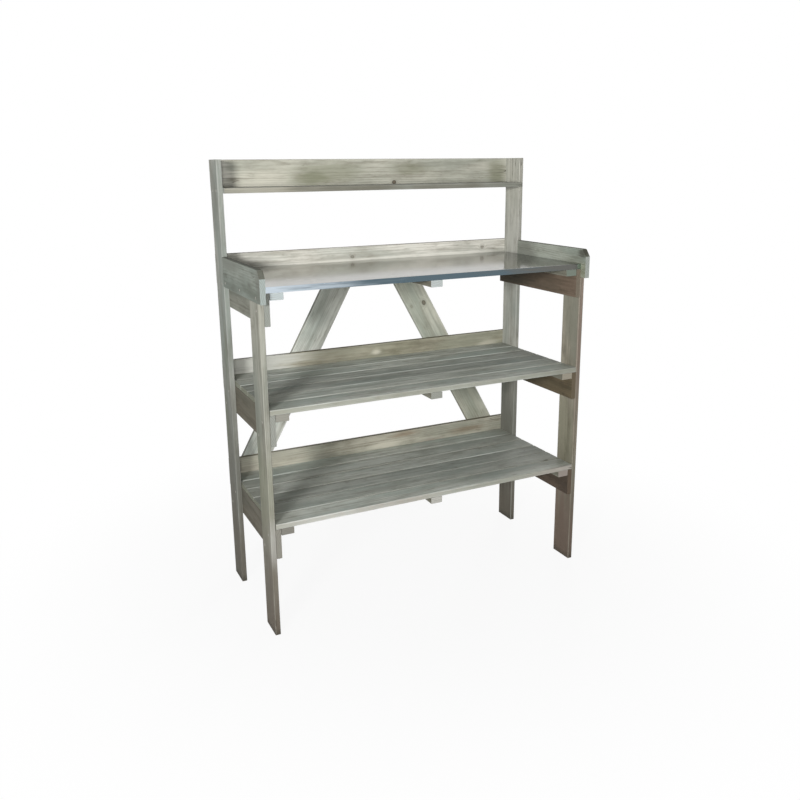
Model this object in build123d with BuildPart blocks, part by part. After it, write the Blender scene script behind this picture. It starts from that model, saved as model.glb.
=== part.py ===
"""Potting bench: a slatted softwood bench with a zinc-covered worktop and two shelves.

Millimetres, +Z up, +Y to the rear, +X to the right of someone standing at the front.
The origin is on the ground under the middle of the whole bench.
"""

from build123d import *
import os
from math import asin, atan2, cos, hypot, radians, tan

os.makedirs("parts", exist_ok=True)

# Overall sizes
BENCH_WIDTH = 950.0  # over the outer faces of the posts
BENCH_HEIGHT = 1200.0  # ground to the top of the rear posts
BOTTOM_SHELF_HEIGHT = 308.0  # ground to the upper face of the slats
MIDDLE_SHELF_HEIGHT = 608.0
WORKTOP_HEIGHT = 908.0

# Posts and side rails
POST_WIDTH = 75.0
POST_THICKNESS = 14.0
RAIL_HEIGHT = 80.0
RAIL_THICKNESS = 14.0

# Slatted panels
SLAT_COUNT = 6
SLAT_WIDTH = 62.5
SLAT_GAP = 3.8
SLAT_THICKNESS = 14.0
SLAT_END_CLEARANCE = 1.0
BATTEN_WIDTH = 34.0
BATTEN_THICKNESS = 18.0
BATTEN_CLEARANCE = 1.0

# Boards behind the posts: how far each stands above its shelf, and their section
BOTTOM_UPSTAND = 47.0
MIDDLE_UPSTAND = 42.0
WORKTOP_UPSTAND = 42.0
BACKBOARD_HEIGHT = 80.0
TOP_BOARD_HEIGHT = 80.0
REAR_BOARD_THICKNESS = 14.0
REAR_BOARD_INSET = 3.0

# Ledge below the top board
LEDGE_DEPTH = 91.0
LEDGE_THICKNESS = 14.0
LEDGE_DROP = 6.0

# Side boards of the worktop
SIDE_BOARD_HEIGHT = 80.0
SIDE_BOARD_OVERHANG = 20.0
CORNER_CUT_LENGTH = 16.0
CORNER_CUT_DROP = 20.0

# Diagonal braces
BRACE_WIDTH = 80.0
BRACE_THICKNESS = 14.0
BRACE_TOP_GAP = 24.0
BRACE_FOOT_INSET = 8.0
BRACE_END_MARGIN = 10.0

# Metal sheet on the worktop
SHEET_THICKNESS = 0.8
SHEET_LIP = 15.0
SHEET_CLEARANCE = 1.0
SHEET_BEND_CLEARANCE = 0.5

# Rounding along the grain of every board
EDGE_RADIUS = 1.5

# Countersunk screws
SCREW_SHANK_DIAMETER = 3.5
SCREW_HEAD_DIAMETER = 7.0
SCREW_HEAD_ANGLE = 90.0
SCREW_TIP_LENGTH = 4.0
SCREW_TIP_DIAMETER = 1.0
SCREW_CROSS_LENGTH = 3.4  # slots of the cross recess in the head
SCREW_CROSS_WIDTH = 1.0
SCREW_CROSS_DEPTH = 1.4
SHORT_SCREW_LENGTH = 25.0
LONG_SCREW_LENGTH = 40.0
SCREW_CLEARANCE = 0.1
SCREW_MARGIN = 18.0  # from a screw to the edge of the board it holds
BRACE_SCREW_SPACING = 28.0
SIDE_SCREW_COUNT = 3

# Places along X
OUTER_X = BENCH_WIDTH / 2
INNER_X = OUTER_X - POST_THICKNESS
RAIL_INNER_X = INNER_X - RAIL_THICKNESS
REAR_BOARD_X = OUTER_X - REAR_BOARD_INSET
SLAT_X = INNER_X - SLAT_END_CLEARANCE

# Places along Y: the slats fill the depth of the frame, and the whole depth is centred
FRAME_DEPTH = SLAT_COUNT * SLAT_WIDTH + (SLAT_COUNT - 1) * SLAT_GAP
WHOLE_DEPTH = SIDE_BOARD_OVERHANG + FRAME_DEPTH + REAR_BOARD_THICKNESS + BRACE_THICKNESS
FRONT_Y = SIDE_BOARD_OVERHANG - WHOLE_DEPTH / 2
REAR_Y = FRONT_Y + FRAME_DEPTH
REAR_BOARD_Y = REAR_Y + REAR_BOARD_THICKNESS
REAR_POST_Y = REAR_Y - POST_WIDTH

# Places along Z
WORKTOP_RIM_Z = WORKTOP_HEIGHT + WORKTOP_UPSTAND
SIDE_BOARD_Z = WORKTOP_RIM_Z - SIDE_BOARD_HEIGHT
TOP_BOARD_Z = BENCH_HEIGHT - TOP_BOARD_HEIGHT
LEDGE_Z = TOP_BOARD_Z - LEDGE_DROP

# What repeats: two sides, three levels with their heights, and the boards at the back
SIDES = {"left": -1, "right": 1}
LEVELS = {
    "bottom_shelf": BOTTOM_SHELF_HEIGHT,
    "middle_shelf": MIDDLE_SHELF_HEIGHT,
    "worktop": WORKTOP_HEIGHT,
}
BACKBOARD_TOPS = {
    "bottom_shelf": BOTTOM_SHELF_HEIGHT + BOTTOM_UPSTAND,
    "middle_shelf": MIDDLE_SHELF_HEIGHT + MIDDLE_UPSTAND,
    "worktop": WORKTOP_RIM_Z,
}
REAR_BOARDS = {"top_board": (TOP_BOARD_Z, BENCH_HEIGHT)}
for level, top in BACKBOARD_TOPS.items():
    REAR_BOARDS[f"{level}_backboard"] = (top - BACKBOARD_HEIGHT, top)
POSTS = {
    "front": (FRONT_Y, FRONT_Y + POST_WIDTH, SIDE_BOARD_Z),
    "rear": (REAR_POST_Y, REAR_Y, BENCH_HEIGHT),
}
BATTEN_END_X = RAIL_INNER_X - BATTEN_CLEARANCE - BATTEN_WIDTH / 2
BATTENS = {"left": -BATTEN_END_X, "middle": 0.0, "right": BATTEN_END_X}

# The right brace: its inner edge starts at the top near the middle of the bench, and its outer
# edge ends at the foot near the outer face of a post. Both ends are cut level.
BRACE_TOP_X = BRACE_TOP_GAP / 2
BRACE_FOOT_X = OUTER_X - BRACE_FOOT_INSET
BRACE_TOP_Z = BACKBOARD_TOPS["worktop"] - BRACE_END_MARGIN
BRACE_FOOT_Z = BACKBOARD_TOPS["bottom_shelf"] - BACKBOARD_HEIGHT + BRACE_END_MARGIN
BRACE_REACH = BRACE_FOOT_X - BRACE_TOP_X
BRACE_DROP = BRACE_TOP_Z - BRACE_FOOT_Z
BRACE_LEAN = atan2(BRACE_REACH, BRACE_DROP) - asin(BRACE_WIDTH / hypot(BRACE_REACH, BRACE_DROP))
BRACE_CUT_WIDTH = BRACE_WIDTH / cos(BRACE_LEAN)


def seat_height(level):
    """Top of a level's rails, which is the underside of its slats."""
    return LEVELS[level] - SLAT_THICKNESS


def slat_front(number):
    """Y of the front edge of a slat, counted from 0 at the front."""
    return FRONT_Y + number * (SLAT_WIDTH + SLAT_GAP)


def brace_middle(height):
    """X of the middle of the right brace at a height."""
    foot_middle = BRACE_FOOT_X - BRACE_CUT_WIDTH / 2
    top_middle = BRACE_TOP_X + BRACE_CUT_WIDTH / 2
    share = (height - BRACE_FOOT_Z) / BRACE_DROP
    return foot_middle + share * (top_middle - foot_middle)


def post_screws(side, post, level):
    """Two screws through a post into a rail, one high at the front and one low at the rear."""
    post_front, post_rear, post_top = POSTS[post]
    rail_top = seat_height(level)
    high = min(rail_top, post_top) - SCREW_MARGIN
    low = rail_top - RAIL_HEIGHT + SCREW_MARGIN
    places = ((post_front + SCREW_MARGIN, high), (post_rear - SCREW_MARGIN, low))
    return [Plane((SIDES[side] * OUTER_X, y, z), z_dir=(SIDES[side], 0, 0)) for y, z in places]


def side_board_screws(side):
    """A row of screws through a side board into the top of the worktop rail."""
    height = (SIDE_BOARD_Z + seat_height("worktop")) / 2
    first = FRONT_Y + SCREW_MARGIN
    step = (REAR_POST_Y - SCREW_MARGIN - first) / (SIDE_SCREW_COUNT - 1)
    rows = [first + number * step for number in range(SIDE_SCREW_COUNT)]
    return [Plane((SIDES[side] * OUTER_X, y, height), z_dir=(SIDES[side], 0, 0)) for y in rows]


def rear_board_screws(side, board):
    """Two screws through the end of a board into the rear edge of a post."""
    low, high = REAR_BOARDS[board]
    across = SIDES[side] * (INNER_X + REAR_BOARD_X) / 2
    heights = (low + SCREW_MARGIN, high - SCREW_MARGIN)
    return [Plane((across, REAR_BOARD_Y, z), z_dir=(0, 1, 0)) for z in heights]


def ledge_screws(side):
    """Two screws through a rear post into the end of the ledge."""
    height = LEDGE_Z + LEDGE_THICKNESS / 2
    rows = (REAR_POST_Y + SCREW_MARGIN, REAR_Y - SCREW_MARGIN)
    return [Plane((SIDES[side] * OUTER_X, y, height), z_dir=(SIDES[side], 0, 0)) for y in rows]


def brace_screws(side, level):
    """Two screws through a brace into a backboard, where the two cross."""
    board_top = BACKBOARD_TOPS[level]
    low = max(board_top - BACKBOARD_HEIGHT, BRACE_FOOT_Z)
    high = min(board_top, BRACE_TOP_Z)
    height = (low + high) / 2
    middle = SIDES[side] * brace_middle(height)
    offsets = (-BRACE_SCREW_SPACING / 2, BRACE_SCREW_SPACING / 2)
    rear = REAR_BOARD_Y + BRACE_THICKNESS
    return [Plane((middle + offset, rear, height), z_dir=(0, 1, 0)) for offset in offsets]


def panel_screws(level, batten, number):
    """One screw from below through a batten into a slat."""
    row = slat_front(number) + SLAT_WIDTH / 2
    height = seat_height(level) - BATTEN_THICKNESS
    return [Plane((BATTENS[batten], row, height), z_dir=(0, 0, -1))]


def drill(places, length):
    """Cut the countersunk holes of some screws in the part that is being built."""
    with Locations(*places):
        CounterSinkHole(
            radius=SCREW_SHANK_DIAMETER / 2 + SCREW_CLEARANCE,
            counter_sink_radius=SCREW_HEAD_DIAMETER / 2 + SCREW_CLEARANCE,
            depth=length + SCREW_CLEARANCE,
            counter_sink_angle=SCREW_HEAD_ANGLE,
        )


def write(piece, name):
    piece.part.label = name
    export_step(piece.part, f"parts/{name}.step")


def make_board(name, x_span, y_span, z_span, grain, short_screws=(), long_screws=()):
    """A straight board with eased edges along its grain, drilled for its screws."""
    x_size = max(x_span) - min(x_span)
    y_size = max(y_span) - min(y_span)
    with BuildPart() as board:
        with BuildSketch(Plane.XY.offset(min(z_span))):
            with Locations((sum(x_span) / 2, sum(y_span) / 2)):
                Rectangle(x_size, y_size)
        extrude(amount=max(z_span) - min(z_span))
        fillet(board.edges().filter_by(grain), radius=EDGE_RADIUS)
        if short_screws:
            drill(short_screws, SHORT_SCREW_LENGTH)
        if long_screws:
            drill(long_screws, LONG_SCREW_LENGTH)
    write(board, name)


def make_screws(name, places, length):
    """A group of equal cross-head countersunk screws, each with its head flush with its plane."""
    shank_radius = SCREW_SHANK_DIAMETER / 2
    head_radius = SCREW_HEAD_DIAMETER / 2
    head_height = (head_radius - shank_radius) / tan(radians(SCREW_HEAD_ANGLE / 2))
    shank_end = length - SCREW_TIP_LENGTH
    below = (Align.CENTER, Align.CENTER, Align.MAX)
    with BuildPart(*places) as group:
        Cone(bottom_radius=shank_radius, top_radius=head_radius, height=head_height, align=below)
        with Locations((0, 0, -head_height)):
            Cylinder(radius=shank_radius, height=shank_end - head_height, align=below)
        with Locations((0, 0, -shank_end)):
            Cone(
                bottom_radius=SCREW_TIP_DIAMETER / 2,
                top_radius=shank_radius,
                height=SCREW_TIP_LENGTH,
                align=below,
            )
        for turn in (0, 90):
            Box(
                SCREW_CROSS_LENGTH,
                SCREW_CROSS_WIDTH,
                SCREW_CROSS_DEPTH,
                rotation=(0, 0, turn),
                align=below,
                mode=Mode.SUBTRACT,
            )
    write(group, name)


# Posts
for side, sign in SIDES.items():
    for post, (post_front, post_rear, post_top) in POSTS.items():
        short = [place for level in LEVELS for place in post_screws(side, post, level)]
        long = []
        if post == "rear":
            long = [place for board in REAR_BOARDS for place in rear_board_screws(side, board)]
            long += ledge_screws(side)
        make_board(
            f"{side}_{post}_post",
            (sign * INNER_X, sign * OUTER_X),
            (post_front, post_rear),
            (0, post_top),
            Axis.Z,
            short,
            long,
        )

# Side rails
for side, sign in SIDES.items():
    for level in LEVELS:
        short = [place for post in POSTS for place in post_screws(side, post, level)]
        if level == "worktop":
            short += side_board_screws(side)
        make_board(
            f"{side}_{level}_rail",
            (sign * RAIL_INNER_X, sign * INNER_X),
            (FRONT_Y, REAR_Y),
            (seat_height(level) - RAIL_HEIGHT, seat_height(level)),
            Axis.Y,
            short,
        )

# Slats and battens of the two shelves and the worktop
for level, slat_top in LEVELS.items():
    for number in range(SLAT_COUNT):
        make_board(
            f"{level}_slat_{number + 1}",
            (-SLAT_X, SLAT_X),
            (slat_front(number), slat_front(number) + SLAT_WIDTH),
            (seat_height(level), slat_top),
            Axis.X,
            [place for batten in BATTENS for place in panel_screws(level, batten, number)],
        )
    for batten, middle in BATTENS.items():
        make_board(
            f"{level}_{batten}_batten",
            (middle - BATTEN_WIDTH / 2, middle + BATTEN_WIDTH / 2),
            (FRONT_Y, REAR_Y),
            (seat_height(level) - BATTEN_THICKNESS, seat_height(level)),
            Axis.Y,
            [place for number in range(SLAT_COUNT) for place in panel_screws(level, batten, number)],
        )

# Backboards and top board, behind the rear posts
for board, (low, high) in REAR_BOARDS.items():
    level = board.removesuffix("_backboard")
    braced = level in LEVELS
    make_board(
        board,
        (-REAR_BOARD_X, REAR_BOARD_X),
        (REAR_Y, REAR_BOARD_Y),
        (low, high),
        Axis.X,
        [place for side in SIDES for place in brace_screws(side, level)] if braced else (),
        [place for side in SIDES for place in rear_board_screws(side, board)],
    )

# Ledge between the rear posts, against the top board
make_board(
    "top_ledge",
    (-INNER_X, INNER_X),
    (REAR_Y - LEDGE_DEPTH, REAR_Y),
    (LEDGE_Z, LEDGE_Z + LEDGE_THICKNESS),
    Axis.X,
    (),
    [place for side in SIDES for place in ledge_screws(side)],
)

# Side boards of the worktop, on top of the front posts, with the front upper corner cut off
for side, sign in SIDES.items():
    board_front = FRONT_Y - SIDE_BOARD_OVERHANG
    with BuildPart() as side_board:
        with BuildSketch(Plane.YZ.offset(min(sign * INNER_X, sign * OUTER_X))):
            with BuildLine():
                Polyline(
                    (board_front, SIDE_BOARD_Z),
                    (REAR_POST_Y, SIDE_BOARD_Z),
                    (REAR_POST_Y, WORKTOP_RIM_Z),
                    (board_front + CORNER_CUT_LENGTH, WORKTOP_RIM_Z),
                    (board_front, WORKTOP_RIM_Z - CORNER_CUT_DROP),
                    close=True,
                )
            make_face()
        extrude(amount=POST_THICKNESS)
        fillet(side_board.edges().filter_by(Axis.Y), radius=EDGE_RADIUS)
        drill(side_board_screws(side), SHORT_SCREW_LENGTH)
    write(side_board, f"{side}_side_board")

# Diagonal braces, on the rear faces of the backboards
for side, sign in SIDES.items():
    with BuildPart() as brace:
        with BuildSketch(Plane.XZ.offset(-REAR_BOARD_Y)):
            with BuildLine():
                Polyline(
                    (sign * BRACE_TOP_X, BRACE_TOP_Z),
                    (sign * (BRACE_TOP_X + BRACE_CUT_WIDTH), BRACE_TOP_Z),
                    (sign * BRACE_FOOT_X, BRACE_FOOT_Z),
                    (sign * (BRACE_FOOT_X - BRACE_CUT_WIDTH), BRACE_FOOT_Z),
                    close=True,
                )
            make_face()
        extrude(amount=-BRACE_THICKNESS)
        long_edges = brace.edges().filter_by(Axis.X, reverse=True).filter_by(Axis.Y, reverse=True)
        fillet(long_edges, radius=EDGE_RADIUS)
        drill([place for level in LEVELS for place in brace_screws(side, level)], SHORT_SCREW_LENGTH)
    write(brace, f"{side}_brace")

# Metal sheet over the worktop, folded down in front of the first slat
sheet_x = INNER_X - SHEET_CLEARANCE
sheet_middle_z = WORKTOP_HEIGHT + SHEET_THICKNESS / 2
sheet_front_y = FRONT_Y - SHEET_THICKNESS / 2
with BuildPart() as zinc_sheet:
    with BuildSketch(Plane.YZ.offset(-sheet_x)):
        with BuildLine():
            FilletPolyline(
                (sheet_front_y, WORKTOP_HEIGHT + SHEET_THICKNESS - SHEET_LIP),
                (sheet_front_y, sheet_middle_z),
                (REAR_Y - SHEET_CLEARANCE, sheet_middle_z),
                radius=EDGE_RADIUS - SHEET_BEND_CLEARANCE + SHEET_THICKNESS / 2,
            )
        trace(line_width=SHEET_THICKNESS)
    extrude(amount=2 * sheet_x)
write(zinc_sheet, "zinc_sheet")

# Screws, in groups that hold the same kind of joint
make_screws(
    "post_screws",
    [
        place
        for side in SIDES
        for post in POSTS
        for level in LEVELS
        for place in post_screws(side, post, level)
    ],
    SHORT_SCREW_LENGTH,
)
make_screws(
    "side_board_screws",
    [place for side in SIDES for place in side_board_screws(side)],
    SHORT_SCREW_LENGTH,
)
make_screws(
    "brace_screws",
    [place for side in SIDES for level in LEVELS for place in brace_screws(side, level)],
    SHORT_SCREW_LENGTH,
)
make_screws(
    "rear_board_screws",
    [place for side in SIDES for board in REAR_BOARDS for place in rear_board_screws(side, board)],
    LONG_SCREW_LENGTH,
)
make_screws("ledge_screws", [place for side in SIDES for place in ledge_screws(side)], LONG_SCREW_LENGTH)
for level in LEVELS:
    make_screws(
        f"{level}_screws",
        [
            place
            for batten in BATTENS
            for number in range(SLAT_COUNT)
            for place in panel_screws(level, batten, number)
        ],
        SHORT_SCREW_LENGTH,
    )
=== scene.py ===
import random
from collections import namedtuple
from math import asin, atan2, cos, hypot, radians, sin

import bpy
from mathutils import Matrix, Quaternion, Vector


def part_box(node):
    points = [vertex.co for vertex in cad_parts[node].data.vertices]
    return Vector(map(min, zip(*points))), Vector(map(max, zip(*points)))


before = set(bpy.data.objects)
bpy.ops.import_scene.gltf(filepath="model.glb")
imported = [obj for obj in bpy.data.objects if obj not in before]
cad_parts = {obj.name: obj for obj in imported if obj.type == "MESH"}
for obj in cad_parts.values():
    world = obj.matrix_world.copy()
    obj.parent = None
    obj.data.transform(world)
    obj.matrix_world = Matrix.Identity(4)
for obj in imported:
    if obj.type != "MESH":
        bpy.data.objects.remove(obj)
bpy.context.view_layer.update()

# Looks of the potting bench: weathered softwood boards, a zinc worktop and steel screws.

X_AXIS = Vector((1.0, 0.0, 0.0))
Y_AXIS = Vector((0.0, 1.0, 0.0))
Z_AXIS = Vector((0.0, 0.0, 1.0))


def rgb(red, green, blue):
    """A colour given as it looks on a screen, 0 to 255, as the linear colour a shader takes."""
    def linear(level):
        share = level / 255
        return share / 12.92 if share <= 0.04045 else ((share + 0.055) / 1.055) ** 2.4

    return (linear(red), linear(green), linear(blue), 1.0)


WHITE = rgb(255, 255, 255)

# Camera, as the photograph was taken
CAMERA_PLACE = Vector((-1.000, -2.044, 1.183))
CAMERA_AZIMUTH = radians(-26.27)
CAMERA_ELEVATION = radians(14.43)
CAMERA_ROLL = radians(-0.49)
CAMERA_LENS = 36.69
CAMERA_SENSOR = 36.0
CAMERA_SHIFT = (-0.0079, -0.0320)

# Light: a soft lamp at the front left that is tilted upward, a weaker one behind the camera, a low one
# that lifts the rear and the right side, and an even surround that is dimmer overhead
Lamp = namedtuple("Lamp", "place aim size power")
LAMPS = {
    "key_lamp": Lamp(Vector((-2.48, -2.48, 1.45)), Vector((0.0, 0.0, 5.0)), 0.80, 185.0),
    "fill_lamp": Lamp(Vector((-1.10, -2.30, 0.95)), Vector((0.0, 0.0, 1.2)), 0.50, 24.0),
    "rear_lamp": Lamp(Vector((2.20, 2.20, 0.45)), Vector((0.0, 0.0, 0.7)), 0.80, 60.0),
}
SIDE_LIGHT = 0.25
OVERHEAD_LIGHT = 0.20
OVERHEAD_RANGE = (0.25, 0.95)  # upward share of a direction over which the surround dims
SEEN_LIGHT = 1.0

# Floor: the share that the camera sees as plain white grows from near the bench to far from it
FLOOR_SIZE = 60.0
FLOOR_GREY = (0.75, 0.75, 0.75, 1.0)
FLOOR_ROUGHNESS = 0.9
FLOOR_GLOW = 0.91
FLOOR_FADE = (0.30, 1.35)

# Wood tones. Each board has one colour, and these shares of it make its early wood, its late wood, the
# grey green of old treated wood, its dark patches and painted shade, and its rubbed corners.
Tone = namedtuple("Tone", "pale dark weathered stain worn")
TONE_SHARES = Tone(
    pale=(1.30, 1.30, 1.29),
    dark=(0.70, 0.68, 0.64),
    weathered=(0.88, 0.97, 0.96),
    stain=(0.47, 0.45, 0.39),
    worn=(1.55, 1.57, 1.62),
)
BOARD_COLOURS = {
    "left_front_post": rgb(134, 134, 125),
    "right_front_post": rgb(133, 128, 116),
    "left_rear_post": rgb(141, 142, 136),
    "right_rear_post": rgb(151, 151, 144),
    "left_side_board": rgb(119, 124, 117),
    "right_side_board": rgb(134, 138, 129),
    "left_worktop_rail": rgb(115, 116, 107),
    "left_middle_shelf_rail": rgb(90, 86, 75),
    "left_bottom_shelf_rail": rgb(95, 91, 81),
    # The right rails' colours are darkened by painted shade from the worktop and the shelves above them.
    "right_worktop_rail": rgb(96, 83, 71),
    "right_middle_shelf_rail": rgb(88, 78, 61),
    "right_bottom_shelf_rail": rgb(73, 62, 53),
    "left_brace": rgb(190, 192, 185),
    "right_brace": rgb(175, 175, 163),
    "top_board": rgb(164, 163, 152),
    "top_ledge": rgb(142, 142, 134),
    "worktop_backboard": rgb(190, 188, 180),
    "middle_shelf_backboard": rgb(154, 150, 134),
    "bottom_shelf_backboard": rgb(160, 157, 144),
}
BATTEN_COLOUR = rgb(134, 133, 123)
SLAT_COLOUR = rgb(168, 171, 165)
SLAT_LIGHTNESS = {
    "bottom_shelf": (1.36, 1.08, 0.88, 1.11, 1.10, 1.19),
    "middle_shelf": (1.30, 1.27, 0.94, 1.02, 1.33, 1.25),
    "worktop": (1.00, 0.95, 1.05, 1.00, 0.95, 1.05),
}

# Sawn ends: the common colour, that of the slats, and those of boards that differ
SAWN_END = rgb(150, 153, 146)
SLAT_END = rgb(98, 101, 84)
SAWN_ENDS = {
    "left_worktop_rail": rgb(138, 142, 136),
    "left_bottom_shelf_rail": rgb(145, 143, 134),
    "right_worktop_rail": rgb(122, 114, 100),
    "right_middle_shelf_rail": rgb(104, 94, 77),
    "right_bottom_shelf_rail": rgb(100, 87, 73),
    # The battens' ends are made lighter or darker one by one as painted light and shade; the pale blue
    # ends of the worktop's left and middle battens are painted highlights.
    "worktop_left_batten": rgb(174, 184, 186),
    "worktop_middle_batten": rgb(182, 190, 190),
    "worktop_right_batten": rgb(116, 128, 118),
    "middle_shelf_left_batten": rgb(143, 142, 134),
    "middle_shelf_right_batten": rgb(160, 153, 138),
    "bottom_shelf_left_batten": rgb(127, 125, 118),
    "bottom_shelf_middle_batten": rgb(194, 193, 186),
    "bottom_shelf_right_batten": rgb(164, 153, 146),
    "left_side_board": rgb(148, 157, 154),
    "right_side_board": rgb(164, 169, 164),
}

# Colours of stains and marks, and of painted light and shade
KNOT_HEART = rgb(92, 80, 64)
KNOT_RIM = rgb(52, 44, 35)
CRACK_SHADE = rgb(66, 60, 50)
# Colours of the painted shade low on the front and the rear posts
LOW_SHADE_COLOURS = {"front": rgb(93, 80, 69), "rear": rgb(82, 74, 62)}
OLIVE = rgb(106, 109, 84)
SLATE = rgb(98, 98, 90)
SOOT_AND_PAINTED_SHADE = rgb(54, 52, 43)
MOSS = rgb(108, 115, 96)
PALE_GREY = rgb(196, 197, 191)
BARE_WOOD = rgb(206, 202, 186)
PALE_WOOD_AND_PAINTED_LIGHT = rgb(222, 220, 210)
RUST_BROWN = rgb(128, 108, 84)
ROSE_BROWN = rgb(122, 101, 92)
ROSE_GREY = rgb(176, 168, 160)

# Knots and marks of single boards: the place along the grain and across the face, from the board's
# middle, and half the size, in metres. The first marks of the top board and of the worktop backboard
# are no stains: they are pale to offset the shade that the lamps leave at the left ends.
Knot = namedtuple("Knot", "along across radius shade")
KNOTS = {
    "top_board": [Knot(0.069, -0.027, 0.0045, 0.85)],
    "worktop_backboard": [Knot(0.377, 0.017, 0.0042, 0.45), Knot(-0.070, 0.011, 0.0038, 0.45)],
    "right_brace": [Knot(0.163, 0.016, 0.0055, 0.70), Knot(0.176, -0.026, 0.0032, 0.20)],
}
Mark = namedtuple("Mark", "along across length width colour strength")
MARKS = {
    "top_board": [
        Mark(-0.455, 0.000, 0.045, 0.070, PALE_WOOD_AND_PAINTED_LIGHT, 0.75),
        Mark(-0.315, 0.000, 0.110, 0.040, BARE_WOOD, 0.25),
        Mark(-0.130, 0.002, 0.130, 0.036, OLIVE, 0.50),
        Mark(-0.195, -0.014, 0.080, 0.022, OLIVE, 0.60),
        Mark(0.125, 0.008, 0.080, 0.026, OLIVE, 0.50),
        Mark(0.425, -0.006, 0.040, 0.045, OLIVE, 0.60),
    ],
    "top_ledge": [Mark(-0.360, -0.040, 0.170, 0.060, BARE_WOOD, 0.30)],
    "worktop_backboard": [
        Mark(-0.435, 0.000, 0.075, 0.070, PALE_WOOD_AND_PAINTED_LIGHT, 0.80),
        Mark(-0.120, 0.002, 0.300, 0.010, PALE_WOOD_AND_PAINTED_LIGHT, 0.60),
        Mark(0.250, 0.002, 0.200, 0.009, PALE_WOOD_AND_PAINTED_LIGHT, 0.45),
    ],
    "middle_shelf_backboard": [
        Mark(-0.385, 0.005, 0.180, 0.080, PALE_GREY, 0.80),
        Mark(0.002, 0.015, 0.024, 0.013, BARE_WOOD, 0.90),
        Mark(0.080, 0.020, 0.120, 0.040, OLIVE, 0.25),
        Mark(0.405, 0.000, 0.060, 0.026, BARE_WOOD, 0.50),
    ],
    "bottom_shelf_backboard": [
        Mark(-0.330, 0.010, 0.150, 0.060, BARE_WOOD, 0.35),
        Mark(0.026, 0.004, 0.060, 0.014, BARE_WOOD, 0.60),
        Mark(0.098, 0.030, 0.060, 0.012, RUST_BROWN, 0.60),
        Mark(-0.180, 0.000, 0.050, 0.020, SLATE, 0.40),
        Mark(0.190, -0.015, 0.070, 0.016, ROSE_BROWN, 0.40),
        Mark(0.321, 0.012, 0.090, 0.014, RUST_BROWN, 0.50),
    ],
    "bottom_shelf_slat_1": [
        Mark(0.260, 0.020, 0.300, 0.045, SLATE, 0.45),
        Mark(-0.250, -0.036, 0.300, 0.012, ROSE_GREY, 0.55),
        Mark(0.410, -0.036, 0.120, 0.012, ROSE_GREY, 0.65),
    ],
    "bottom_shelf_slat_2": [Mark(0.260, 0.000, 0.300, 0.090, SLATE, 0.20)],
    # The darker upper part of the left brace is painted shade under the worktop.
    "left_brace": [Mark(0.290, 0.000, 0.140, 0.070, SLATE, 0.30)],
    "right_brace": [Mark(-0.280, 0.000, 0.200, 0.060, OLIVE, 0.25)],
    "left_side_board": [
        Mark(-0.165, 0.000, 0.035, 0.070, SLATE, 0.55),
        Mark(0.100, 0.030, 0.120, 0.020, SLATE, 0.45),
    ],
    "right_side_board": [
        Mark(-0.130, -0.020, 0.110, 0.035, OLIVE, 0.55),
        Mark(0.130, 0.015, 0.065, 0.045, SLATE, 0.60),
        Mark(-0.156, 0.029, 0.026, 0.022, SOOT_AND_PAINTED_SHADE, 0.75),
    ],
    # The dark rear ends of the right rails are painted shade under the worktop and the shelves.
    "right_worktop_rail": [Mark(0.130, 0.000, 0.200, 0.080, SOOT_AND_PAINTED_SHADE, 0.85)],
    "right_middle_shelf_rail": [Mark(0.130, 0.000, 0.190, 0.080, SOOT_AND_PAINTED_SHADE, 0.75)],
    "right_bottom_shelf_rail": [Mark(0.130, 0.000, 0.190, 0.080, SOOT_AND_PAINTED_SHADE, 0.75)],
    "left_front_post": [
        Mark(-0.040, 0.010, 0.190, 0.070, OLIVE, 0.45),
        Mark(0.150, 0.020, 0.090, 0.020, SLATE, 0.35),
        Mark(-0.260, -0.020, 0.070, 0.020, SLATE, 0.40),
        Mark(-0.195, -0.042, 0.085, 0.014, PALE_GREY, 0.65),
    ],
    "left_rear_post": [
        Mark(-0.260, 0.000, 0.370, 0.090, SLATE, 0.80),
        Mark(0.500, 0.010, 0.110, 0.060, SLATE, 0.40),
        Mark(0.080, -0.015, 0.130, 0.022, MOSS, 0.45),
        Mark(-0.120, 0.020, 0.100, 0.018, MOSS, 0.45),
    ],
    "right_front_post": [
        Mark(-0.060, 0.000, 0.180, 0.070, OLIVE, 0.40),
        Mark(-0.370, 0.000, 0.200, 0.070, ROSE_BROWN, 0.60),
        Mark(0.190, -0.042, 0.400, 0.012, ROSE_BROWN, 0.65),
    ],
    "right_rear_post": [
        Mark(-0.260, 0.000, 0.260, 0.090, SLATE, 0.80),
        Mark(-0.570, 0.000, 0.120, 0.090, SLATE, 0.60),
        Mark(0.540, 0.000, 0.160, 0.090, BARE_WOOD, 0.25),
    ],
}
MARK_FADE = (0.25, 1.10)  # shares of a mark's half size between which it fades out

# Form of a knot, in shares of its radius
KNOT_STRETCH = 1.3
KNOT_RAGGED = 0.5
KNOT_PUSH = 1.4
HEART_EDGE = (0.70, 1.05)
RIM_START = (0.60, 0.95)
RIM_END = (1.00, 1.40)
HALO_REACH = (0.8, 3.5)

# Figure of the wood: noise drawn out along the grain, in marks about this long and wide
Figure = namedtuple("Figure", "length width detail roughness", defaults=(2.0, 0.5))
FIBRE = Figure(0.110, 0.0026, 3.0, 0.60)
STREAK = Figure(0.420, 0.0130, 3.0, 0.55)
PATCH = Figure(0.300, 0.0750, 3.0, 0.55)
BLOT = Figure(0.150, 0.0450, 4.0, 0.60)
MOTTLE = Figure(0.055, 0.0150, 4.0, 0.65)
SPLIT = Figure(0.300, 0.0200, 1.0)
RING_JITTER = Figure(0.060, 0.0120)
KNOT_EDGE = Figure(0.010, 0.0060)

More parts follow.
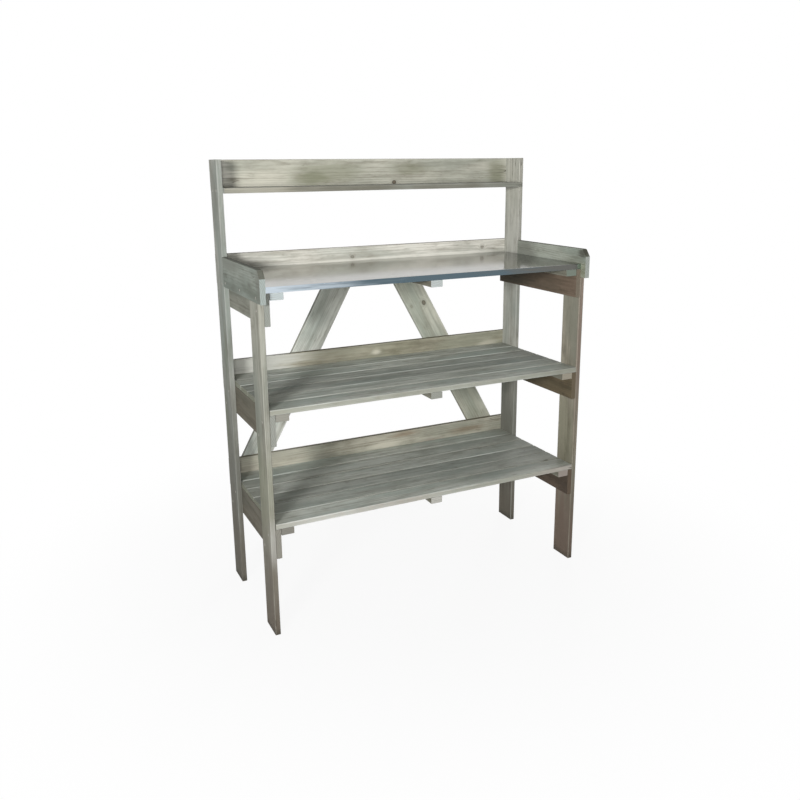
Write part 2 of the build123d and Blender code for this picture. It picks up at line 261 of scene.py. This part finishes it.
# How much each kind of figure darkens the clean wood
RING_SHADE = 0.26
FIBRE_SHADE = 0.80
STREAK_SHADE = 1.50
PATCH_SHADE = 1.20
MOTTLE_SHADE = 1.20
MIDDLE_SHADE = 0.37

# How much each kind of figure stands out from the surface
RING_RELIEF = 0.30
FIBRE_RELIEF = 0.75
STREAK_RELIEF = 0.35
CRACK_RELIEF = 1.20
WOOD_RELIEF = 0.55
WOOD_RELIEF_HEIGHT = 0.0012
WOOD_ROUGHNESS = 0.88
WOOD_GLOSS = 0.30

# Year rings
RING_SPACING = 0.0042
RING_UNEVENNESS = 0.004
PITH_SIDEWAYS = (-0.8, 0.8)  # shares of the board's half width
PITH_DEPTH = 0.045
PITH_DEPTH_SHARES = (0.6, 1.5)
GRAIN_WANDER = 0.030
WANDER_DOWNWARD = 0.6  # share of the wander that goes through the board
WANDER_PACE = 1.6  # how often the grain swings, for each metre
LATE_WOOD_START = (0.35, 0.90)
LATE_WOOD_END = (0.93, 1.00)

# Weather, wear and painted shade. Ranges are of noise, of a face's turn or of metres, and a swing is how
# ragged the edge of something is, in the same measure as its range.
STAINED_SHARES = (0.40, 0.70)
GREYED_SHARES = (0.35, 0.75)
GREYED_RANGE = (0.40, 0.66)
BLOT_RANGE = (0.52, 0.74)
MILDEW_RANGE = (0.58, 0.75)
MILDEW = 0.45
NARROW_FACE = (0.25, 0.75)
# narrow faces are darkened: dirt together with painted shade
EDGE_DIRT_AND_SHADE_RANGE = (0.45, 0.70)
EDGE_DIRT_AND_SHADE = 0.75
# painted shade on the upper edges of upright boards
UPPER_EDGE_SHADE = 0.90
SLAT_END_REACH = (0.00, 0.11)
SLAT_END_SWING = 0.10
SLAT_END_GRIME = 0.45
# painted shade that darkens the posts towards the floor
LOW_SHADE_HEIGHTS = (0.02, 0.42)
LOW_SHADE_SWING = 0.25
LOW_SHADE = 0.75
FOOT_DIRT_HEIGHTS = (0.002, 0.024)
FOOT_DIRT_SWING = 0.020
FOOT_DIRT = 0.55
WORN_WIDTHS = (0.0004, 0.0034)
WORN_SWING = 0.006
WORN_RANGE = (0.35, 0.60)
CORNER_WEAR = 0.35
SAWN_FACE = (0.80, 0.92)
SPLIT_RANGE = (0.002, 0.008)
CRACK_REACH = (0.01, 0.10)
CRACK_SWING = 0.2
CRACK_DARKNESS = 0.65
KNOT_HALO = 0.30
UPRIGHT_BOARDS = ("_backboard", "_side_board", "top_board")

# Zinc sheet. Scales are in marks for each metre.
ZINC_BRIGHT = rgb(205, 204, 200)
ZINC_DULL = rgb(184, 184, 182)
ZINC_SCUFF = rgb(158, 160, 160)
ZINC_EDGE = rgb(228, 228, 227)  # how bright the sheet is at a grazing look
ZINC_ROUGHNESS = 0.07
FLAKE_SCALE = 85.0
ROLL_SCALES = Vector((2.0, 90.0, 90.0))
HAZE_SCALE = 6.0
WAVE_SCALE = 3.2
WAVE_RELIEF = 0.20
WAVE_HEIGHT = 0.0040
THIRDS = Vector((0.33, 0.33, 0.33))  # a colour's product with these is about its mean
SCUFF_SCALES = (5.0, 260.0)
SCUFF_DIRECTION = Vector((0.35, 0.94, 0.0))
SCUFF_RANGE = (0.004, 0.020)
SCUFF_HAZE_RANGE = (0.42, 0.62)
SCUFFED = 0.40
DULL_END_RANGE = (0.28, 0.46)  # where the duller right end sets in
DULL_END = 0.85

# Fold of the zinc sheet, from its left end to its right corner, which is pale to offset the darker
# light there
FOLD_BRIGHT = rgb(200, 211, 220)
FOLD_BLUE = rgb(92, 109, 118)
FOLD_GREY = rgb(106, 106, 102)
FOLD_CORNER = rgb(176, 190, 184)
FOLD_FACE = (0.3, 0.8)
FOLD_SMEAR_SCALES = Vector((9.0, 0.0, 120.0))
FOLD_BLUE_RANGE = (-0.48, -0.10)
FOLD_GREY_RANGE = (0.10, 0.40)
FOLD_CORNER_RANGE = (0.444, 0.453)

# Screws
SCREW_BRIGHT = rgb(176, 174, 166)
SCREW_TARNISH = rgb(104, 98, 88)
SCREW_METALLIC = 0.9
SCREW_ROUGHNESS = 0.42
TARNISH_ROUGHNESS = 0.25
TARNISH_SCALE = 420.0
TARNISH_RANGE = (0.35, 0.75)
TARNISH_RELIEF = 0.3
TARNISH_HEIGHT = 0.0003

BRACE_WIDTH = 0.080
BRACE_SIDES = {"left_brace": -1, "right_brace": 1}


class Wire:
    """An output in a material's nodes. Sums on wires and numbers add Math nodes."""

    def __init__(self, finish, socket):
        self.finish = finish
        self.socket = socket

    def sum(self, operation, first, second=0.0):
        return self.finish.node("ShaderNodeMath", {"operation": operation}, {0: first, 1: second})

    def __add__(self, other):
        return self.sum("ADD", self, other)

    def __radd__(self, other):
        return self.sum("ADD", other, self)

    def __sub__(self, other):
        return self.sum("SUBTRACT", self, other)

    def __rsub__(self, other):
        return self.sum("SUBTRACT", other, self)

    def __mul__(self, other):
        return self.sum("MULTIPLY", self, other)

    def __truediv__(self, other):
        return self.sum("DIVIDE", self, other)

    def __pow__(self, other):
        return self.sum("POWER", self, other)

    def __abs__(self):
        return self.sum("ABSOLUTE", self)

    def root(self):
        return self.sum("SQRT", self)

    def part(self):
        """What is left above the whole number."""
        return self.sum("FRACT", self)

    def least(self, other):
        return self.sum("MINIMUM", self, other)

    def most(self, other):
        return self.sum("MAXIMUM", self, other)

    def swing(self, amount):
        """Noise, which lies between 0 and 1, moved to lie about 0 and scaled."""
        return (self - 0.5) * amount

    def rise(self, low, high):
        """0 up to low, 1 from high on, and a smooth rise between them."""
        return self.finish.node(
            "ShaderNodeMapRange",
            {"interpolation_type": "SMOOTHSTEP"},
            {"Value": self, "From Min": low, "From Max": high},
        )

    def fall(self, low, high):
        return 1.0 - self.rise(low, high)


class Finish:
    """A material in the making."""

    def __init__(self, name):
        self.material = bpy.data.materials.new(name)
        self.material.use_nodes = True
        self.tree = self.material.node_tree
        self.shader = self.tree.nodes["Principled BSDF"]

    def node(self, kind, settings=None, sockets=None, output=0):
        """Add a node: its settings first, then the values or wires of its sockets."""
        made = self.tree.nodes.new(kind)
        for name, setting in (settings or {}).items():
            setattr(made, name, setting)
        for name, value in (sockets or {}).items():
            self.plug(made.inputs[name], value)
        return Wire(self, made.outputs[output])

    def plug(self, socket, value):
        if isinstance(value, Wire):
            self.tree.links.new(value.socket, socket)
        else:
            socket.default_value = value

    def set(self, **sockets):
        """Give the shader's sockets, named with underscores, their values or wires."""
        for name, value in sockets.items():
            self.plug(self.shader.inputs[name.replace("_", " ")], value)

    def place(self):
        """Where a point of the surface is, in metres, in the bench's frame."""
        return self.node("ShaderNodeTexCoord", output="Object")

    def facing(self):
        return self.node("ShaderNodeNewGeometry", output="True Normal")

    def vector(self, operation, first, second, output=0):
        return self.node("ShaderNodeVectorMath", {"operation": operation}, {0: first, 1: second}, output)

    def dot(self, first, second):
        return self.vector("DOT_PRODUCT", first, second, "Value")

    def point(self, x, y, z):
        return self.node("ShaderNodeCombineXYZ", sockets={0: x, 1: y, 2: z})

    def noise(self, point, scale=1.0, detail=2.0, roughness=0.5):
        return self.node(
            "ShaderNodeTexNoise",
            sockets={"Vector": point, "Scale": scale, "Detail": detail, "Roughness": roughness},
        )

    def mix(self, share, first, second):
        """A colour between two others."""
        return self.node("ShaderNodeMix", {"data_type": "RGBA"}, {0: share, 6: first, 7: second}, 2)

    def blend(self, share, first, second):
        """A shader between two others."""
        return self.node("ShaderNodeMixShader", sockets={0: share, 1: first, 2: second})

    def bump(self, height, strength, distance):
        return self.node(
            "ShaderNodeBump",
            sockets={"Height": height, "Strength": strength, "Distance": distance},
        )

    def seen_directly(self):
        """1 for rays from the camera and for mirror and glass rays, 0 for the light on the bench."""
        camera = self.node("ShaderNodeLightPath", output="Is Camera Ray")
        mirror = self.node("ShaderNodeLightPath", output="Is Glossy Ray")
        glass = self.node("ShaderNodeLightPath", output="Is Transmission Ray")
        return camera.most(mirror).most(glass)


class Board:
    """Where a straight board lies: its middle, its three directions and half its sizes."""

    def __init__(self, node):
        low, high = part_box(node)
        size = high - low
        order = sorted((X_AXIS, Y_AXIS, Z_AXIS), key=size.dot)
        self.node = node
        self.middle = (low + high) / 2
        self.through, self.across, self.grain = order
        self.half_thickness, self.half_width, self.half_length = (size.dot(axis) / 2 for axis in order)

    def is_post(self):
        return self.node.endswith("_post")

    def is_slat(self):
        return "_slat_" in self.node

    def colour(self):
        """The colour of the board. Slats of one shelf differ a little."""
        if self.is_slat():
            level, number = self.node.split("_slat_")
            lightness = SLAT_LIGHTNESS[level][int(number) - 1]
            return tuple(part * lightness for part in SLAT_COLOUR)
        return BOARD_COLOURS.get(self.node, BATTEN_COLOUR)

    def end_colour(self):
        return SLAT_END if self.is_slat() else SAWN_ENDS.get(self.node, SAWN_END)


class Brace(Board):
    """A diagonal board, whose grain leans from the vertical."""

    def __init__(self, node):
        super().__init__(node)
        side = BRACE_SIDES[node]
        low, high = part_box(node)
        reach, drop = high.x - low.x, high.z - low.z
        lean = atan2(reach, drop) - asin(BRACE_WIDTH / hypot(reach, drop))
        self.grain = Vector((-side * sin(lean), 0.0, cos(lean)))
        self.across = Vector((cos(lean), 0.0, side * sin(lean)))
        self.half_width = BRACE_WIDTH / 2
        self.half_length = drop / cos(lean) / 2


def tone_of(colour):
    """The tones of a board of this colour."""
    return Tone(*((*(part * share for part, share in zip(colour, shares)), 1.0) for shares in TONE_SHARES))


class Timber(Finish):
    """The wood of one board, with a point's place along its grain, across its face and through it."""

    def __init__(self, board, seed):
        super().__init__(f"wood_{board.node}")
        self.board = board
        self.tone = tone_of(board.colour())
        self.chance = random.Random(seed)
        self.shift = self.chance.uniform(5.0, 95.0)
        self.stained = self.chance.uniform(*STAINED_SHARES)
        self.greyed = self.chance.uniform(*GREYED_SHARES)
        place = self.vector("SUBTRACT", self.place(), board.middle)
        self.along = self.dot(place, board.grain)
        self.across = self.dot(place, board.across)
        self.through = self.dot(place, board.through)
        self.fibre = self.streaks(FIBRE)
        self.streak = self.streaks(STREAK)
        self.patch = self.streaks(PATCH)
        self.blot = self.streaks(BLOT)
        self.mottle = self.streaks(MOTTLE)

    def streaks(self, figure):
        """Noise drawn out along the grain."""
        along = self.along / figure.length + self.shift
        point = self.point(along, self.across / figure.width, self.through / figure.width)
        return self.noise(point, 1.0, figure.detail, figure.roughness)

    def reach(self, mark, length, width):
        """How far a point is from a mark's middle, counted in the mark's own half sizes."""
        along = (self.along - mark.along) / length
        across = (self.across - mark.across) / width
        return (along ** 2.0 + across ** 2.0).root()

    def corner(self):
        """How far a point is from the nearest long edge of the board."""
        gap_across = self.board.half_width - abs(self.across)
        gap_through = self.board.half_thickness - abs(self.through)
        return gap_across.most(gap_through)

    def end_gap(self):
        return self.board.half_length - abs(self.along)

    def knot_figure(self, knots):
        """Heart, rim and halo of the knots, and how far they push the rings aside."""
        heart, rim, halo, push = 0.0, 0.0, 0.0, 0.0
        for knot in knots:
            reach = self.reach(knot, knot.radius * KNOT_STRETCH, knot.radius)
            outline = reach + self.streaks(KNOT_EDGE).swing(KNOT_RAGGED)
            heart = outline.fall(*HEART_EDGE) * knot.shade + heart
            rim = outline.rise(*RIM_START) * outline.fall(*RIM_END) * knot.shade + rim
            near = reach.fall(*HALO_REACH)
            halo = near + halo
            push = near * knot.radius * KNOT_PUSH + push
        return heart, rim, halo, push

    def year_rings(self, push):
        """Late wood of the year rings, round a pith that lies below the face and wanders."""
        pith_across = self.chance.uniform(*PITH_SIDEWAYS) * self.board.half_width
        pith_depth = PITH_DEPTH * self.chance.uniform(*PITH_DEPTH_SHARES)
        sway = self.noise(self.point(self.along * WANDER_PACE + self.shift, self.shift, 0.0), 1.0, 1.0)
        wander = sway.swing(GRAIN_WANDER)
        jitter = self.streaks(RING_JITTER).swing(RING_UNEVENNESS)
        sideways = self.across - pith_across + wander
        downward = self.through + pith_depth + wander * WANDER_DOWNWARD
        radius = (sideways * sideways + downward * downward).root() + jitter + push
        ring = (radius / RING_SPACING).part()
        return ring.rise(*LATE_WOOD_START) * ring.fall(*LATE_WOOD_END)

    def weathered(self, late_wood):
        """Colour of the bare wood, greyed, blotted and mildewed."""
        tone = self.tone
        shade = late_wood * RING_SHADE + self.fibre.swing(FIBRE_SHADE) + self.streak.swing(STREAK_SHADE)
        shade = shade + self.patch.swing(PATCH_SHADE) + self.mottle.swing(MOTTLE_SHADE) + MIDDLE_SHADE
        colour = self.mix(shade.rise(0.0, 1.0), tone.pale, tone.dark)
        colour = self.mix(self.patch.rise(*GREYED_RANGE) * self.greyed, colour, tone.weathered)
        blotted = self.blot.rise(*BLOT_RANGE) * (self.fibre * 0.8 + 0.4)
        colour = self.mix(blotted * self.stained, colour, tone.stain)
        return self.mix(self.mottle.rise(*MILDEW_RANGE) * MILDEW, colour, tone.stain)

    def grimy_and_shaded(self, colour):
        """Painted shade with dirt on narrow faces, painted shade on the upper edges of upright boards, and
        dirt at the ends of slats.
        """
        stain = self.tone.stain
        if not self.board.is_post():
            narrow = abs(self.dot(self.facing(), self.board.across)).rise(*NARROW_FACE)
            # Narrow faces are darkened in patches: dirt together with painted shade.
            colour = self.mix(narrow * self.patch.fall(*EDGE_DIRT_AND_SHADE_RANGE) * EDGE_DIRT_AND_SHADE, colour, stain)
        if self.board.node.endswith(UPRIGHT_BOARDS):
            # The upper edges of upright boards are darkened: painted shade.
            upper_edge = self.dot(self.facing(), Z_AXIS).rise(*NARROW_FACE)
            colour = self.mix(upper_edge * UPPER_EDGE_SHADE, colour, stain)
        if self.board.is_slat():
            near_end = (self.end_gap() + self.streak.swing(SLAT_END_SWING)).fall(*SLAT_END_REACH)
            colour = self.mix(near_end * SLAT_END_GRIME, colour, stain)
        return colour

    def marked(self, colour, marks):
        """The board's marks, stains and painted light and shade alike, with ragged edges."""
        ragged = self.blot.swing(0.8) + self.streak.swing(1.4) + self.fibre.swing(0.9)
        for mark in marks:
            reach = self.reach(mark, mark.length, mark.width) + ragged
            colour = self.mix(reach.fall(*MARK_FADE) * mark.strength, colour, mark.colour)
        return colour

    def shaded_below(self, colour):
        """Painted shade that darkens a post towards the floor, and dirt at its foot."""
        row = self.board.node.split("_")[1]
        height = self.dot(self.place(), Z_AXIS)
        shaded_below = (height + self.streak.swing(LOW_SHADE_SWING)).fall(*LOW_SHADE_HEIGHTS)
        colour = self.mix(shaded_below * LOW_SHADE, colour, LOW_SHADE_COLOURS[row])
        dirt = (height + self.streak.swing(FOOT_DIRT_SWING)).fall(*FOOT_DIRT_HEIGHTS)
        return self.mix(dirt * FOOT_DIRT, colour, SOOT_AND_PAINTED_SHADE)

    def rubbed(self, colour):
        """Corners rubbed pale here and there."""
        worn = (self.corner() + self.blot.swing(WORN_SWING)).fall(*WORN_WIDTHS)
        return self.mix(worn * self.patch.rise(*WORN_RANGE) * CORNER_WEAR, colour, self.tone.worn)


def wood_finish(board, seed):
    """Weathered softwood for one board: year rings, fibres, knots, stains, painted light and shade, and
    rubbed corners.
    """
    timber = Timber(board, seed)
    mix = timber.mix
    knots = KNOTS.get(board.node, ())
    heart, rim, halo, push = timber.knot_figure(knots)
    late_wood = timber.year_rings(push)

    # Colour, from the bare wood outwards
    colour = timber.grimy_and_shaded(timber.weathered(late_wood))
    colour = timber.marked(colour, MARKS.get(board.node, ()))
    # Posts get painted shade towards the floor, and dirt at their feet.
    if board.is_post():
        colour = timber.shaded_below(colour)
    colour = timber.rubbed(colour)

    # Square-cut ends show the rings across, and drying cracks run in from the ends
    sawn = abs(timber.dot(timber.facing(), board.grain)).rise(*SAWN_FACE)
    sawn_colour = mix(late_wood * 0.45 + timber.fibre * 0.25, board.end_colour(), timber.tone.dark)
    colour = mix(sawn, colour, sawn_colour)
    split = abs(timber.streaks(SPLIT) - 0.5).fall(*SPLIT_RANGE)
    near_end = (timber.end_gap() + timber.patch.swing(CRACK_SWING)).fall(*CRACK_REACH)
    crack = split * near_end * (1.0 - sawn)
    colour = mix(crack * CRACK_DARKNESS, colour, CRACK_SHADE)

    if knots:
        colour = mix(halo * KNOT_HALO, colour, timber.tone.stain)
        colour = mix(heart.least(1.0), colour, KNOT_HEART)
        colour = mix(rim.least(1.0), colour, KNOT_RIM)

    relief = late_wood * RING_RELIEF + timber.fibre * FIBRE_RELIEF + timber.streak * STREAK_RELIEF
    timber.set(
        Base_Color=colour,
        Roughness=WOOD_ROUGHNESS - late_wood * 0.10 - timber.fibre.swing(0.25),
        Normal=timber.bump(relief - crack * CRACK_RELIEF, WOOD_RELIEF, WOOD_RELIEF_HEIGHT),
        Specular_IOR_Level=WOOD_GLOSS,
    )
    return timber.material


def zinc_finish():
    """Bright galvanised sheet: a mirror with faint crystal flakes, rolling marks and a blue fold."""
    finish = Finish("zinc")
    mix = finish.mix
    place = finish.place()
    along = finish.dot(place, X_AXIS)
    sockets = {"Vector": place, "Scale": FLAKE_SCALE}
    flake = finish.dot(finish.node("ShaderNodeTexVoronoi", sockets=sockets, output="Color"), THIRDS)
    rolled = finish.noise(finish.vector("MULTIPLY", place, ROLL_SCALES), 1.0, 3.0)
    haze = finish.noise(place, HAZE_SCALE, 4.0, 0.6)
    waves = finish.noise(place, WAVE_SCALE, 1.0)
    fold = finish.dot(finish.facing(), -Y_AXIS).rise(*FOLD_FACE)
    bright = flake.swing(0.30) + rolled.swing(0.25) + haze.swing(0.5) + 0.5
    colour = mix(bright.rise(0.0, 1.0), ZINC_DULL, ZINC_BRIGHT)

    # Scuffs from pots that were pushed about, and a duller right end
    pace_along, pace_across = SCUFF_SCALES
    slanted = finish.dot(place, SCUFF_DIRECTION)
    lines = finish.noise(finish.point(along * pace_along, slanted * pace_across, 0.0), 1.0, 2.0)
    scuff = abs(lines - 0.5).fall(*SCUFF_RANGE) * haze.rise(*SCUFF_HAZE_RANGE) * (1.0 - fold)
    dull_end = (along + haze.swing(0.2)).rise(*DULL_END_RANGE)
    colour = mix((scuff * SCUFFED).most(dull_end * DULL_END), colour, ZINC_SCUFF)

    # The fold at the front has dulled to blue grey, least at its left end
    smear = finish.noise(finish.vector("MULTIPLY", place, FOLD_SMEAR_SCALES), 1.0, 3.0, 0.6)
    smeared = along + smear.swing(0.5)
    fold_colour = mix(smeared.rise(*FOLD_BLUE_RANGE), FOLD_BRIGHT, FOLD_BLUE)
    fold_colour = mix(smeared.rise(*FOLD_GREY_RANGE), fold_colour, FOLD_GREY)
    # The right corner of the fold is painted paler to offset the darker light there.
    fold_colour = mix(along.rise(*FOLD_CORNER_RANGE), fold_colour, FOLD_CORNER)
    finish.set(
        Base_Color=mix(fold, colour, fold_colour),
        Metallic=1.0,
        Specular_Tint=ZINC_EDGE,
        Roughness=ZINC_ROUGHNESS + haze * 0.06 + flake * 0.03 + scuff * 0.15 + fold * 0.15,
        Normal=finish.bump(waves + rolled * 0.02, WAVE_RELIEF, WAVE_HEIGHT),
    )
    return finish.material


def screw_finish():
    """Dull zinc-plated steel with a little tarnish."""
    finish = Finish("screw_steel")
    tarnish = finish.noise(finish.place(), TARNISH_SCALE, 3.0, 0.6)
    finish.set(
        Base_Color=finish.mix(tarnish.rise(*TARNISH_RANGE), SCREW_BRIGHT, SCREW_TARNISH),
        Metallic=SCREW_METALLIC,
        Roughness=SCREW_ROUGHNESS + tarnish * TARNISH_ROUGHNESS,
        Normal=finish.bump(tarnish, TARNISH_RELIEF, TARNISH_HEIGHT),
    )
    return finish.material


def dress(node, material):
    """Give a CAD node its material."""
    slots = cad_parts[node].data.materials
    slots.clear()
    slots.append(material)


def dress_bench():
    """Zinc for the sheet, steel for the screws, and a wood of its own for each board."""
    zinc = zinc_finish()
    screw_steel = screw_finish()
    for seed, node in enumerate(sorted(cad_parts)):
        if node == "zinc_sheet":
            dress(node, zinc)
        elif node.endswith("_screws"):
            dress(node, screw_steel)
        else:
            board = Brace(node) if node in BRACE_SIDES else Board(node)
            dress(node, wood_finish(board, seed))


def make_floor():
    """A plain white floor that keeps the bench's shadow."""
    mesh = bpy.data.meshes.new("floor")
    half = FLOOR_SIZE / 2
    corners = [(-half, -half, 0.0), (half, -half, 0.0), (half, half, 0.0), (-half, half, 0.0)]
    mesh.from_pydata(corners, [], [(0, 1, 2, 3)])
    floor = bpy.data.objects.new("floor", mesh)
    bpy.context.collection.objects.link(floor)
    finish = Finish("floor_paper")
    finish.set(Base_Color=FLOOR_GREY, Roughness=FLOOR_ROUGHNESS, Specular_IOR_Level=0.0)
    distance = finish.node("ShaderNodeVectorMath", {"operation": "LENGTH"}, {0: finish.place()}, "Value")
    far = distance.rise(*FLOOR_FADE)
    share = finish.seen_directly() * (FLOOR_GLOW + far * (1.0 - FLOOR_GLOW))
    glow = finish.node("ShaderNodeEmission", sockets={"Color": WHITE, "Strength": SEEN_LIGHT})
    matt = Wire(finish, finish.shader.outputs[0])
    finish.plug(finish.tree.nodes["Material Output"].inputs["Surface"], finish.blend(share, matt, glow))
    mesh.materials.append(finish.material)


class Surround(Finish):
    """The world's nodes, built as a material's are."""

    def __init__(self, world):
        world.use_nodes = True
        self.tree = world.node_tree

    def background(self, strength):
        return self.node("ShaderNodeBackground", sockets={"Color": WHITE, "Strength": strength})


def make_surround():
    """White where it is seen, and a grey light on the bench that is dimmer from overhead."""
    world = bpy.data.worlds.new("surround")
    bpy.context.scene.world = world
    finish = Surround(world)
    direction = finish.node("ShaderNodeTexCoord", output="Generated")
    overhead = finish.dot(direction, Z_AXIS).rise(*OVERHEAD_RANGE)
    grey = finish.blend(overhead, finish.background(SIDE_LIGHT), finish.background(OVERHEAD_LIGHT))
    both = finish.blend(finish.seen_directly(), grey, finish.background(SEEN_LIGHT))
    finish.plug(finish.tree.nodes["World Output"].inputs["Surface"], both)


def look_along(thing, direction, roll=0.0):
    """Turn a lamp or a camera so that it looks in a direction."""
    thing.rotation_mode = "QUATERNION"
    thing.rotation_quaternion = direction.to_track_quat("-Z", "Y") @ Quaternion(Z_AXIS, roll)


def make_lamp(name, lamp):
    light = bpy.data.lights.new(name, "AREA")
    light.shape = "DISK"
    light.size = lamp.size
    light.energy = lamp.power
    holder = bpy.data.objects.new(name, light)
    bpy.context.collection.objects.link(holder)
    holder.location = lamp.place
    look_along(holder, lamp.aim - lamp.place)


def make_camera():
    lens = bpy.data.cameras.new("camera")
    lens.sensor_width = CAMERA_SENSOR
    lens.lens = CAMERA_LENS
    lens.shift_x, lens.shift_y = CAMERA_SHIFT
    camera = bpy.data.objects.new("camera", lens)
    bpy.context.collection.objects.link(camera)
    camera.location = CAMERA_PLACE
    level = cos(CAMERA_ELEVATION)
    direction = Vector((-sin(CAMERA_AZIMUTH) * level, cos(CAMERA_AZIMUTH) * level, -sin(CAMERA_ELEVATION)))
    look_along(camera, direction, CAMERA_ROLL)
    bpy.context.scene.camera = camera


dress_bench()
make_floor()
make_surround()
for name, lamp in LAMPS.items():
    make_lamp(name, lamp)
make_camera()
bpy.context.scene.view_settings.view_transform = "Standard"
